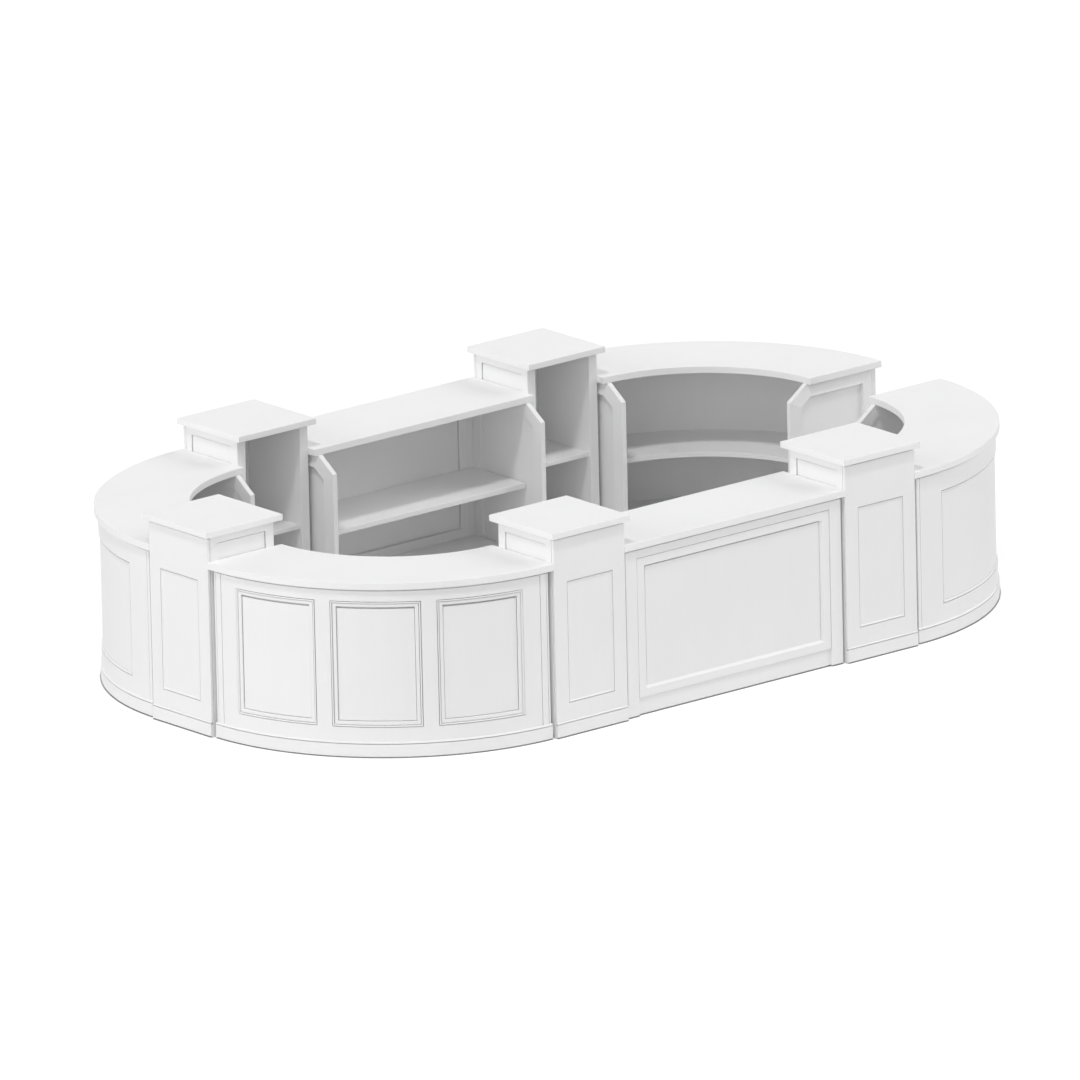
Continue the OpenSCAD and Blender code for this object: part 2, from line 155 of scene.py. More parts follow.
# Fine groove round the flat band of a straight front, from its outer edge: (distance inwards, depth)
BAND_GROOVE = [(0.0, 0.0240), (0.0036, 0.0240), (0.0040, 0.0040), (0.0046, 0.0032), (0.0054, 0.0030)]
CURVE_MOULD = [
    (0.0, 0.0), (0.0004, 0.0070), (-0.0060, 0.0080), (-0.0060, 0.0180), (0.0060, 0.0180),
    (0.0060, 0.0080), (0.0040, 0.0070), (0.0044, -0.0016), (0.0058, -0.0028), (0.0086, -0.0030),
    (0.0108, -0.0018), (0.0120, 0.0004), (0.0124, 0.0090), (0.0090, 0.0100), (0.0090, 0.0180),
    (0.0220, 0.0180), (0.0220, 0.0100), (0.0152, 0.0090), (0.0156, 0.0036), (0.0174, 0.0030),
    (0.0336, 0.0034, 0.0316), (0.0350, 0.0042, 0.0330), (0.0364, 0.0060, 0.0344),
    (0.0366, 0.0110, 0.0346), (0.0320, 0.0140, 0.0240), (0.0320, 0.0270, 0.0240),
    (0.0460, 0.0270, 0.0620), (0.0460, 0.0180, 0.0620), (0.0390, 0.0160, 0.0458),
    (0.0394, 0.0124, 0.0462), (0.0402, 0.0120, 0.0470),
]
WIDE_MOULD = [
    (0.0, 0.0), (0.0003, 0.0070), (-0.0060, 0.0080), (-0.0060, 0.0200), (0.0100, 0.0200),
    (0.0100, 0.0080), (0.0048, 0.0070), (0.0051, 0.0010), (0.0060, 0.0008), (0.0110, 0.0022),
    (0.0150, 0.0052), (0.0166, 0.0056), (0.0168, 0.0110), (0.0190, 0.0110), (0.0192, 0.0084),
    (0.0200, 0.0080),
]
# Top of a plinth, from its face inwards and from its top downwards: quirk and sloping arris
PLINTH_MOULD = [
    (0.0, -0.0156), (0.0005, -0.0150), (0.0060, -0.0149), (0.0070, -0.0210), (0.0190, -0.0210),
    (0.0190, -0.0050), (0.0080, -0.0050), (0.0070, -0.0106), (0.0005, -0.0105), (0.0001, -0.0096),
    (0.0012, -0.0066), (0.0032, -0.0034), (0.0052, -0.0010), (0.0060, 0.0),
]
# Rebate that leaves a shadow line under the caps and tops, and one at the floor: height and depth
REBATE_H, REBATE_D = 0.014, 0.018
FOOT_H, FOOT_D = 0.006, 0.014
PLINTH_ARRIS = 0.0012                  # lower edge of a plinth
# How far the members of an end panel rise from their outer edge to the infill board, on the public side
SPLAY = 0.011


# Mesh tools

class Joinery:
    """Collects the closed boards of one piece."""

    def __init__(self):
        self.verts, self.faces = [], []

    def add(self, verts, faces):
        base = len(self.verts)
        self.verts += [tuple(v) for v in verts]
        self.faces += [[base + i for i in f] for f in faces]

    def add_rounded(self, verts, faces, radius, edge_test=None):
        """Adds a closed board with its sharp edges rounded to a radius."""
        bm = bmesh.new()
        made = [bm.verts.new(v) for v in verts]
        for f in faces:
            bm.faces.new([made[i] for i in f])
        bmesh.ops.recalc_face_normals(bm, faces=bm.faces)
        bm.normal_update()
        sharp = [
            e for e in bm.edges
            if len(e.link_faces) == 2 and e.calc_face_angle() > math.radians(SHARP_ANGLE)
            and (edge_test is None or edge_test(e))
        ]
        bmesh.ops.bevel(bm, geom=sharp, offset=radius, offset_type="OFFSET", segments=ARRIS_SEGMENTS,
                        profile=0.5, affect="EDGES", clamp_overlap=True)
        bm.verts.index_update()
        self.add([v.co[:] for v in bm.verts], [[v.index for v in f.verts] for f in bm.faces])
        bm.free()

    def moved(self, matrix):
        out = Joinery()
        flip = matrix.determinant() < 0
        out.verts = [tuple(matrix @ Vector(v)) for v in self.verts]
        out.faces = [f[::-1] if flip else f[:] for f in self.faces]
        return out

    def join(self, other):
        self.add(other.verts, other.faces)


def box(j, x, y, z, radius):
    verts = [(a, b, c) for c in z for b in y for a in x]
    faces = [(0, 2, 3, 1), (4, 5, 7, 6), (0, 1, 5, 4), (2, 6, 7, 3), (0, 4, 6, 2), (1, 3, 7, 5)]
    j.add_rounded(verts, faces, radius)


def prism(j, outline, low, high, place, radius):
    """A board of a flat outline; place turns (u, v, w) into a point."""
    n = len(outline)
    verts = [place(u, v, low) for u, v in outline] + [place(u, v, high) for u, v in outline]
    faces = [list(range(n))[::-1], [n + i for i in range(n)]]
    faces += [(i, (i + 1) % n, n + (i + 1) % n, n + i) for i in range(n)]
    j.add_rounded(verts, faces, radius)


def rect(u0, u1, v0, v1, inset=0.0, head=None):
    top = v1 - (inset if head is None else head)
    return [(u0 + inset, v0 + inset), (u1 - inset, v0 + inset), (u1 - inset, top), (u0 + inset, top)]


def sunk_loops(verts, faces, ring, panel, mould, place, offset=0.0):
    """Runs a mitred moulding inwards from the vertex ring of a panel; gives back the last ring."""
    for inset, depth, *head in mould:
        base = len(verts)
        verts += [place(u, v, depth + offset) for u, v in rect(*panel, inset, *head)]
        new = [base + i for i in range(4)]
        faces += [(ring[i], ring[(i + 1) % 4], new[(i + 1) % 4], new[i]) for i in range(4)]
        ring = new
    return ring


def on_outline(outline_points, tolerance=1e-6):
    """Tests whether both ends of an edge are corners of the board, and so not of its moulding."""
    keep = [Vector(p) for p in outline_points]

    def test(edge):
        return all(any((v.co - k).length < tolerance for k in keep) for v in edge.verts)
    return test


def ring_sweep(j, section, back, radius, steps):
    """A quarter ring with straight ends, set back from both end planes. section lists (r, z)."""
    n = len(section)
    verts, faces = [], []
    for k in range(steps + 1):
        for r, z in section:
            start = math.asin(back / r)
            a = start + (math.pi / 2 - 2 * start) * k / steps
            verts.append((-r * math.cos(a), -r * math.sin(a), z))
    for k in range(steps):
        for i in range(n):
            a, b = k * n + i, k * n + (i + 1) % n
            faces.append((a, b, b + n, a + n))
    faces.append(list(range(n))[::-1])
    faces.append([steps * n + i for i in range(n)])
    if radius:
        j.add_rounded(verts, faces, radius)
    else:
        j.add(verts, faces)


# Pillar

def pillar_cap():
    j = Joinery()
    box(j, (-PILLAR_HALF - CAP_SIDE, PILLAR_HALF + CAP_SIDE),
        (-PILLAR_FRONT - CAP_FRONT, PILLAR_BACK + CAP_BACK), (CAP_UNDER, PILLAR_H), ARRIS_TOP)
    return j


def pillar_face():
    j = Joinery()
    place = lambda u, v, w: (u, -PILLAR_FRONT + w, v)
    outer = rect(-PILLAR_HALF, PILLAR_HALF, PLINTH_H, CAP_UNDER - REBATE_H)
    verts = [place(u, v, 0) for u, v in outer] + [place(u, v, FACE_T) for u, v in outer]
    corners = verts[:]
    faces = [(7, 6, 5, 4)] + [(i, i + 4, (i + 1) % 4 + 4, (i + 1) % 4) for i in range(4)]
    ring = sunk_loops(verts, faces, [0, 1, 2, 3], FACE_PANEL, PILLAR_MOULD, place)
    faces.append(ring)
    j.add_rounded(verts, faces, ARRIS_BODY, on_outline(corners))
    box(j, (-PILLAR_HALF + REBATE_D, PILLAR_HALF - REBATE_D),
        (-PILLAR_FRONT + REBATE_D, -PILLAR_FRONT + FACE_T), (CAP_UNDER - REBATE_H, CAP_UNDER), ARRIS_HIDDEN)
    return j


def pillar_side(sign):
    j = Joinery()
    place = lambda u, v, w: (sign * (-PILLAR_HALF + w), u, v)
    seat, back, notch = -PILLAR_FRONT + FACE_T, PILLAR_BACK, PLINTH_D - PILLAR_FRONT - PLINTH_PROUD
    front = seat + SIDE_JOINT
    outer = [(notch, 0.0), (back, 0.0), (back, CAP_UNDER), (front, CAP_UNDER), (front, PLINTH_H),
             (notch, PLINTH_H)]
    panel = (seat + SIDE_MARGIN_FRONT, back - SIDE_MARGIN_BACK, PLINTH_H, CAP_UNDER - SIDE_MARGIN_TOP)
    verts = [place(u, v, 0) for u, v in outer] + [place(u, v, SIDE_T) for u, v in outer]
    corners = verts[:]
    n = len(outer)
    faces = [[n + i for i in range(n)]] + [(i, i + n, (i + 1) % n + n, (i + 1) % n) for i in range(n)]
    base = len(verts)
    verts += [place(u, v, 0) for u, v in rect(*panel)]
    p = [base + i for i in range(4)]
    faces += [(0, 1, p[1], p[0], 5), (1, 2, p[2], p[1]), (2, 3, p[3], p[2]), (3, 4, 5, p[0], p[3])]
    ring = sunk_loops(verts, faces, p, panel, SIDE_MOULD[1:], place)
    faces.append(ring)
    j.add_rounded(verts, faces, ARRIS_BODY, on_outline(corners))
    inner = sorted((sign * (-PILLAR_HALF + FILLER_IN), sign * (-PILLAR_HALF + SIDE_T)))
    box(j, inner, (seat, front + FILLER_LAP), (PLINTH_H, CAP_UNDER), ARRIS_HIDDEN)
    return j


def pillar_sides():
    j = pillar_side(1)
    j.join(pillar_side(-1))
    return j


def pillar_shelves():
    j = Joinery()
    bay = PILLAR_HALF - SIDE_T
    for top, y0 in ((PILLAR_SHELF_Z, -PILLAR_FRONT + FACE_T),
                    (PLINTH_H, PLINTH_D - PILLAR_FRONT - PLINTH_PROUD)):
        box(j, (-bay, bay), (y0, PILLAR_BACK - PILLAR_SHELF_IN), (top - PILLAR_SHELF_T, top),
            ARRIS_PILLAR_SHELF)
    return j


def plinth_section(back):
    """Section of a plinth as (distance from the face line inwards, z)."""
    out = [(back, 0.0), (FOOT_D, 0.0), (FOOT_D, FOOT_H), (PLINTH_ARRIS, FOOT_H), (0.0, FOOT_H + PLINTH_ARRIS)]
    out += [(d, PLINTH_H + z) for d, z in PLINTH_MOULD]
    return out + [(back, PLINTH_H)]


def pillar_plinth():
    j = Joinery()
    section = [(-PILLAR_FRONT - PLINTH_PROUD + d, z) for d, z in plinth_section(PLINTH_D)]
    n = len(section)
    verts = [(-PILLAR_HALF, y, z) for y, z in section] + [(PILLAR_HALF, y, z) for y, z in section]
    faces = [list(range(n))[::-1], [n + i for i in range(n)]]
    faces += [(i, (i + 1) % n, n + (i + 1) % n, n + i) for i in range(n)]
    j.add(verts, faces)
    return j


# End panels

def end_outlines(d0):
    """Outer outline and opening of an end frame, corner for corner: (depth from the public edge, height)."""
    m, top, nose, slope = END_MEMBER, TOP_UNDER, NOSE_D, END_SLOPE
    length = math.hypot(END_NOSE, END_SLOPE)
    c_in = (TOP_D - m * (length - END_NOSE) / slope, top - m)
    d_in = (nose - m, top - (m * length + (END_NOSE - m) * slope) / END_NOSE)
    outer = [(d0, 0), (nose, 0), (nose, top - slope), (TOP_D, top), (d0, top)]
    opening = [(d0 + m, m), (nose - m, m), d_in, c_in, (d0 + m, top - m)]
    return outer, opening


def inset_outline(outline, inset):
    """Moves every side of a convex outline inwards."""
    area = sum(a[0] * b[1] - b[0] * a[1] for a, b in zip(outline, outline[1:] + outline[:1]))
    side = 1 if area > 0 else -1
    lines = []
    for a, b in zip(outline, outline[1:] + outline[:1]):
        du, dv = b[0] - a[0], b[1] - a[1]
        length = math.hypot(du, dv)
        nu, nv = -dv / length * side, du / length * side
        lines.append(((a[0] + nu * inset, a[1] + nv * inset), (du, dv)))
    out = []
    for (p, r), (q, s) in zip(lines[-1:] + lines[:-1], lines):
        t = ((q[0] - p[0]) * s[1] - (q[1] - p[1]) * s[0]) / (r[0] * s[1] - r[1] * s[0])
        out.append((p[0] + t * r[0], p[1] + t * r[1]))
    return out


def end_frame(d0, place):
    """Mitred members. Their public faces rise from the outer edge to a step down to the infill board."""
    j = Joinery()
    outer, opening = end_outlines(d0)
    n = len(outer)
    faces = [(0, 1, 2, 3), (7, 6, 5, 4)] + [(i, i + 4, (i + 1) % 4 + 4, (i + 1) % 4) for i in range(4)]
    for i in range(n):
        k = (i + 1) % n
        ring = [(outer[i], 0.0), (outer[k], 0.0), (opening[k], -SPLAY), (opening[i], -SPLAY)]
        verts = [place(u, v, w) for (u, v), w in ring] + [place(u, v, END_T) for (u, v), w in ring]
        j.add_rounded(verts, faces, ARRIS_JOINT)
    return j


def end_infill(d0, place):
    j = Joinery()
    low = (END_T - END_INFILL_T) / 2
    prism(j, inset_outline(end_outlines(d0)[1], SEAT_GAP), low, low + END_INFILL_T, place, ARRIS_INFILL)
    return j


# Straight bar

def straight_top():
    j = Joinery()
    box(j, (-STRAIGHT_HALF, STRAIGHT_HALF), (-REACH, TOP_D - REACH), (TOP_UNDER, BAR_H), ARRIS_TOP)
    return j


def straight_frame():
    j = Joinery()
    back = FRAME_Y + FRONT_T
    under = TOP_UNDER - REBATE_H
    half = STRAIGHT_HALF - POST_IN
    for s in (-1, 1):
        post = sorted((s * BAND_HALF, s * half))
        box(j, post, (FRAME_Y, back), (FOOT_H, under), ARRIS_BODY)
        foot = (post[0] + POST_FOOT_IN, post[1] - POST_FOOT_IN)
        box(j, foot, (FRAME_Y + FOOT_D, back), (0.0, FOOT_H), ARRIS_HIDDEN)
    box(j, (-BAND_HALF, BAND_HALF), (FRAME_Y, back), (BAND_HIGH, under), ARRIS_JOINT)
    box(j, (-half, half), (FRAME_Y + REBATE_D, back), (under, TOP_UNDER), ARRIS_HIDDEN)
    box(j, (-BAND_HALF, BAND_HALF), (FRAME_Y + RAIL_IN, back), (RAIL_GAP, BAND_LOW), ARRIS_JOINT)
    place = lambda u, v, w: (u, FRAME_Y + w, v)
    outer = (-BAND_HALF, BAND_HALF, BAND_LOW, BAND_HIGH)
    panel = (-BAND_HALF + BAND_W, BAND_HALF - BAND_W, BAND_LOW + BAND_W, BAND_HIGH - BAND_W)
    verts = ([place(u, v, BAND_GROOVE[0][1]) for u, v in rect(*outer)]
             + [place(u, v, FRONT_T) for u, v in rect(*outer)])
    corners = verts[:]
    faces = [(i, i + 4, (i + 1) % 4 + 4, (i + 1) % 4) for i in range(4)]
    ring = sunk_loops(verts, faces, [0, 1, 2, 3], outer, BAND_GROOVE[1:], place)
    ring = sunk_loops(verts, faces, ring, panel, BAND_MOULD, place, BAND_IN)
    inner = (panel[0] + PANEL_BEVEL, panel[1] - PANEL_BEVEL, panel[2] + PANEL_BEVEL, panel[3] - HEAD_BEVEL)
    slot = [(0.0, LIP_D), (-SLOT_W, SLOT_D), (-SLOT_W, FRONT_T)]
    ring = sunk_loops(verts, faces, ring, inner, slot, place)
    faces += [(ring[i], ring[(i + 1) % 4], (i + 1) % 4 + 4, i + 4) for i in range(4)]
    j.add_rounded(verts, faces, ARRIS_THIN, on_outline(corners))
    return j


def straight_place(s):
    return lambda u, v, w: (s * (STRAIGHT_HALF - END_IN - w), u - REACH, v)


def straight_infills():
    j = Joinery()
    inset, field = PANEL_BEVEL + SEAT_GAP, FRAME_Y + FIELD_IN
    half, foot = BAND_HALF - BAND_W - inset, BAND_LOW + BAND_W + inset
    head = BAND_HIGH - BAND_W - HEAD_BEVEL - SEAT_GAP
    board = (-half + FIELD_SIDE_GAP, half - FIELD_SIDE_GAP)
    box(j, board, (field, field + FIELD_T), (foot, head - FIELD_HEAD_GAP), ARRIS_THIN)
    box(j, (-half, half), (field + BACKING_IN, FRAME_Y + FRONT_T - BACKING_BACK), (foot, head), ARRIS_HIDDEN)
    for s in (-1, 1):
        j.join(end_infill(FRONT_IN + FRONT_T, straight_place(s)))
    return j


def straight_end_frames():
    j = Joinery()
    for s in (-1, 1):
        j.join(end_frame(FRONT_IN + FRONT_T, straight_place(s)))
    return j


def straight_shelves():
    j = Joinery()
    half = STRAIGHT_HALF - END_IN - END_T
    for z in (SHELF_Z, FLOOR_Z):
        box(j, (-half, half), (FRONT_IN + FRONT_T - REACH, TOP_D - SHELF_IN - REACH), (z - SHELF_T, z),
            ARRIS_SHELF)
    return j


# Quarter round bar

def curve_top():
    j = Joinery()
    section = [(R_IN, TOP_UNDER), (R_OUT, TOP_UNDER), (R_OUT, BAR_H), (R_IN, BAR_H)]
    ring_sweep(j, section, 0.0, ARRIS_TOP, TOP_STEPS)
    return j


def curve_point(s, z, depth):
    """A point on the curved front: s along its face, depth behind it."""
    a = s / R_FACE
    r = R_FACE - depth
    return (-r * math.cos(a), -r * math.sin(a), z)


def groove(s, w, d):
    """Section of an upright groove with eased edges, as (s, depth)."""
    left = [(s - GROOVE_EASE, 0.0), (s, GROOVE_ARRIS), (s + GROOVE_SLANT, d)]
    return left + [(s + w - GROOVE_SLANT, d), (s + w, GROOVE_ARRIS), (s + w + GROOVE_EASE, 0.0)]


def plain_columns(s0, s1):
    """Columns between two places on the face, both left out."""
    n = max(1, round((s1 - s0) / COLUMN_STEP))
    return [(s0 + (s1 - s0) * k / n, 0.0) for k in range(1, n)]


def curve_front(mould, low, high, stile, gap, count, grooves):
    """Curved front with a row of sunk panels and the same upright grooves near both ends."""
    j = Joinery()
    arc = R_FACE * math.pi / 2
    start = R_FACE * math.asin(END_IN / R_FACE)
    z0, z1 = PLINTH_H, TOP_UNDER - REBATE_H
    panel_w = (arc - 2 * stile - (count - 1) * gap) / count
    left = [(start + s, d) for s, d in END_EASE]
    for cut in grooves:
        left += groove(*cut)
    left_full = []
    for a, b in zip(left, left[1:] + [(stile, 0.0)]):
        left_full.append(a)
        if b[0] - a[0] > COLUMN_SPARE:
            left_full += plain_columns(a[0], b[0])
    columns = left_full + [(stile, 0.0)]
    panel_at = []
    for i in range(count):
        a = stile + i * (panel_w + gap)
        panel_at.append(len(columns) - 1)
        columns += plain_columns(a, a + panel_w) + [(a + panel_w, 0.0)]
        if i < count - 1:
            columns += plain_columns(a + panel_w, a + panel_w + gap) + [(a + panel_w + gap, 0.0)]
    columns += [(arc - s, d) for s, d in left_full[::-1]]
    per = round(panel_w / COLUMN_STEP)
    in_panel = {c for at in panel_at for c in range(at, at + per)}

    rows = [z0, low, high, z1]
    verts, faces = [], []
    n = len(columns)
    end_back = math.asin(END_IN / R_BACK)
    s_first, s_last = columns[0][0], columns[-1][0]
    for z in rows:
        verts += [curve_point(s, z, d) for s, d in columns]
    back = len(verts)
    for z in rows:
        for s, _ in columns:
            a = end_back + (math.pi / 2 - 2 * end_back) * (s - s_first) / (s_last - s_first)
            verts.append((-R_BACK * math.cos(a), -R_BACK * math.sin(a), z))
    for row in range(3):
        for c in range(n - 1):
            a, b = row * n + c, row * n + c + 1
            if not (row == 1 and c in in_panel):
                faces.append((a, b, b + n, a + n))
            faces.append((back + a, back + a + n, back + b + n, back + b))
        for c in (0, n - 1):
            a = row * n + c
            quad = (a, a + n, back + a + n, back + a)
            faces.append(quad if c == 0 else quad[::-1])
    for c in range(n - 1):
        faces.append((c, back + c, back + c + 1, c + 1))
        a = 3 * n + c
        faces.append((a, a + 1, back + a + 1, back + a))
    for at in panel_at:
        s0, s1 = columns[at][0], columns[at + per][0]
        bottom = [n + at + k for k in range(per + 1)]
        top = [2 * n + at + k for k in range(per + 1)]
        for inset, depth, *head in mould[1:]:
            base = len(verts)
            head = head[0] if head else inset
            along = [s0 + inset + (s1 - s0 - 2 * inset) * k / per for k in range(per + 1)]
            verts += [curve_point(s, low + inset, depth) for s in along]
            verts += [curve_point(s, high - head, depth) for s in along]
            nb = [base + k for k in range(per + 1)]
            nt = [base + per + 1 + k for k in range(per + 1)]
            for k in range(per):
                faces.append((bottom[k], bottom[k + 1], nb[k + 1], nb[k]))
                faces.append((nt[k], nt[k + 1], top[k + 1], top[k]))
            faces.append((bottom[0], nb[0], nt[0], top[0]))
            faces.append((nb[-1], bottom[-1], top[-1], nt[-1]))
            bottom, top = nb, nt
        for k in range(per):
            faces.append((bottom[k], bottom[k + 1], top[k + 1], top[k]))
    j.add(verts, faces)
    r0, r1 = R_BACK, R_FACE - REBATE_D
    ring_sweep(j, [(r0, z1), (r1, z1), (r1, TOP_UNDER), (r0, TOP_UNDER)], END_IN + RING_IN, 0.0, RING_STEPS)
    return j


def curve_plinth():
    j = Joinery()
    outer = R_FACE + CURVE_PLINTH_PROUD
    section = [(outer - d, z) for d, z in plinth_section(CURVE_PLINTH_D)][::-1]
    ring_sweep(j, section, CURVE_PLINTH_IN, 0.0, PLINTH_STEPS)
    return j


def curve_place(mirrored):
    def place(u, v, w):
        x, y = -R_OUT + u, -END_IN - w
        return (y, x, v) if mirrored else (x, y, v)
    return place


CURVE_END_D = R_OUT - math.sqrt(R_BACK ** 2 - (END_IN + END_T) ** 2) + SEAT_GAP


def curve_end_frames():
    j = Joinery()
    for mirrored in (False, True):
        j.join(end_frame(CURVE_END_D, curve_place(mirrored)))
    return j


def curve_infills():
    j = Joinery()
    for mirrored in (False, True):
        j.join(end_infill(CURVE_END_D, curve_place(mirrored)))
    return j


def curve_shelves():
    j = Joinery()
    for z in (SHELF_Z, FLOOR_Z):
        r0, r1 = R_IN + SHELF_IN, R_BACK - SEAT_GAP
        section = [(r0, z - SHELF_T), (r1, z - SHELF_T), (r1, z), (r0, z)]
        ring_sweep(j, section, END_IN + END_T, ARRIS_SHELF, SHELF_STEPS)
    return j


# Paint

NOISE_LOW, NOISE_HIGH = 0.25, 0.75     # where nearly all of a noise lies
# Noises as (scale, detail)
CLOUD, LINES, SHEEN, STIPPLE_GRAIN = (2.3, 3.0), (1.0, 4.0), (9.0, 4.0), (420.0, 2.0)


def noise(tree, coord, scale, detail, stretch=None):
    vector = coord
    if stretch:
        mapping = tree.nodes.new("ShaderNodeMapping")
        mapping.inputs["Scale"].default_value = stretch
        tree.links.new(coord, mapping.inputs["Vector"])
        vector = mapping.outputs["Vector"]
    node = tree.nodes.new("ShaderNodeTexNoise")
    node.inputs["Scale"].default_value = scale
    node.inputs["Detail"].default_value = detail
    tree.links.new(vector, node.inputs["Vector"])
    return node.outputs["Fac"]


def span(tree, value, low, high):
    node = tree.nodes.new("ShaderNodeMapRange")
    node.inputs["From Min"].default_value = NOISE_LOW
    node.inputs["From Max"].default_value = NOISE_HIGH
    node.inputs["To Min"].default_value = low
    node.inputs["To Max"].default_value = high
    tree.links.new(value, node.inputs["Value"])
    return node.outputs["Result"]


DARKEST, LIGHTEST = 0.982, 1.012       # of the slot's own colour
CLOUD_SHARE, BRUSH_SHARE = 0.65, 0.35
GLOSSIEST, DULLEST = -0.05, 0.07       # round the slot's own roughness
SPECULAR = 0.16
STIPPLE = {"Strength": 0.05, "Distance": 0.0005}
BRUSH = {"Strength": 0.10, "Distance": 0.0012}


def bump(tree, height, look):
    node = tree.nodes.new("ShaderNodeBump")
    for name, value in look.items():
        node.inputs[name].default_value = value
    tree.links.new(height, node.inputs["Height"])
    return node


def paint(slot, stretch, roughness):
    """Satin white paint: cloudy tone, faint roller stipple and brush lines, uneven sheen."""
    wanted = next(m["base_color"] for m in frame["record"]["materials"] if m["slot"] == slot)
    material = bpy.data.materials.new(slot)
    material.use_nodes = True
    tree = material.node_tree
    shader = tree.nodes["Principled BSDF"]
    coord = tree.nodes.new("ShaderNodeTexCoord").outputs["Object"]

    cloud = noise(tree, coord, *CLOUD)
    lines = noise(tree, coord, *LINES, stretch)
    tone = tree.nodes.new("ShaderNodeMix")
    tone.data_type = "RGBA"
    tone.inputs["A"].default_value = [c * DARKEST for c in wanted] + [1.0]
    tone.inputs["B"].default_value = [min(1.0, c * LIGHTEST) for c in wanted] + [1.0]
    both = tree.nodes.new("ShaderNodeMath")
    both.operation = "ADD"
    tree.links.new(span(tree, cloud, 0.0, CLOUD_SHARE), both.inputs[0])
    tree.links.new(span(tree, lines, 0.0, BRUSH_SHARE), both.inputs[1])
    tree.links.new(both.outputs["Value"], tone.inputs["Factor"])
    tree.links.new(tone.outputs["Result"], shader.inputs["Base Color"])

    sheen = span(tree, noise(tree, coord, *SHEEN), roughness + GLOSSIEST, roughness + DULLEST)
    tree.links.new(sheen, shader.inputs["Roughness"])
    shader.inputs["Specular IOR Level"].default_value = SPECULAR

    fine = bump(tree, noise(tree, coord, *STIPPLE_GRAIN), STIPPLE)
    broad = bump(tree, lines, BRUSH)
    tree.links.new(fine.outputs["Normal"], broad.inputs["Normal"])
    tree.links.new(broad.outputs["Normal"], shader.inputs["Normal"])
    return material


# Each slot's paint: how far its brush lines are drawn out along X, Y and Z, and its roughness
PAINT = {
    TOPS: paint(TOPS, (5.0, 5.0, 5.0), 0.58),
    PUBLIC: paint(PUBLIC, (38.0, 38.0, 2.2), 0.52),
    PANELS: paint(PANELS, (34.0, 34.0, 1.8), 0.54),
    INSIDE: paint(INSIDE, (14.0, 14.0, 9.0), 0.56),
}

# Pieces in place

PILLAR_PARTS = (("cap", pillar_cap, TOPS), ("face", pillar_face, PUBLIC), ("sides", pillar_sides, PUBLIC),
                ("shelves", pillar_shelves, INSIDE), ("plinth", pillar_plinth, PUBLIC))
BAR_PARTS = (("top", straight_top, TOPS), ("frame", straight_frame, PUBLIC),
             ("infills", straight_infills, PANELS), ("end_frames", straight_end_frames, PUBLIC),
             ("shelves", straight_shelves, INSIDE))
CURVE_PARTS = (("top", curve_top, TOPS), ("plinth", curve_plinth, PUBLIC),
               ("end_frames", curve_end_frames, PUBLIC), ("infills", curve_infills, PANELS),
               ("shelves", curve_shelves, INSIDE))


def put(name, joinery, slot, where):
    """Makes a piece of painted joinery in its place and lets it stand for the CAD node of that name."""
    x, y, turn = where
    matrix = Matrix.Translation((x, y, 0)) @ Matrix.Rotation(math.radians(turn), 4, "Z")
    placed = joinery.moved(matrix)
    mesh = bpy.data.meshes.new(name + "_joinery")
    mesh.from_pydata(placed.verts, [], placed.faces)
    bm = bmesh.new()
    bm.from_mesh(mesh)
    bmesh.ops.recalc_face_normals(bm, faces=bm.faces)
    bm.to_mesh(mesh)
    bm.free()
    mesh.polygons.foreach_set("use_smooth", [True] * len(mesh.polygons))
    mesh.set_sharp_from_angle(angle=math.radians(SMOOTH_ANGLE))
    mesh.materials.append(PAINT[slot])
    piece = bpy.data.objects.new(name + "_joinery", mesh)
    bpy.context.scene.collection.objects.link(piece)
    weighted = piece.modifiers.new("weighted", "WEIGHTED_NORMAL")
    weighted.keep_sharp = True
    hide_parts(name)
    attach(piece, "root")


for modules, parts, suffix in ((PILLARS, PILLAR_PARTS, "_pillar"), (BARS, BAR_PARTS, ""),
                               (CURVES, CURVE_PARTS, "")):
    for part, make, slot in parts:
        joinery = make()
        for module, where in modules.items():
            put(f"{module}{suffix}_{part}", joinery, slot, where)
wide, stepped = curve_front(WIDE_MOULD, **WIDE_FRONT), curve_front(CURVE_MOULD, **STEPPED_FRONT)
for module, where in CURVES.items():
    put(f"{module}_front", stepped if module == "front_left_curve" else wide, PUBLIC, where)

# Floor, light and camera

scene = bpy.context.scene
scene.view_settings.view_transform = "Standard"

WHITE = (1.0, 1.0, 1.0, 1.0)
SKY_LIGHT, SKY_SEEN = 0.30, 1.0
FLOOR_HALF = 150.0
# What the floor throws back at the object, and what of its light the camera sees
FLOOR_TONE, FLOOR_PALE = 0.82, 0.30
# Painted shade on the floor: the nearer a board, the less the floor glows to the camera, which paints a dark
# contact line round each board's foot; its reach, samples and the mapping from nearness to glow
FLOOR_SHADE_REACH, FLOOR_SAMPLES = 0.014, 8  # how near a board has to be to darken the floor, in metres
FLOOR_GLOW_AND_PAINTED_SHADE = {"From Min": 0.66, "From Max": 0.95, "To Min": 0.0, "To Max": 0.80}
# Lamps far off, all plain white: (name, direction of the light, strength, width in degrees)
LAMPS = (
    ("above", (0.43, 0.32, -1.0), 0.90, 7), ("left", (1.0, 0.0, -0.35), 0.24, 50),
    ("left_back", (0.85, -0.5, -0.35), 0.74, 50), ("left_low", (1.0, 0.3, -0.25), 0.10, 50),
    ("right", (-0.8, 0.5, -0.6), 1.04, 40), ("front", (0.61, 0.74, -0.3), 0.38, 50),
    ("behind", (-0.60, -0.74, -0.15), 0.44, 60),
)
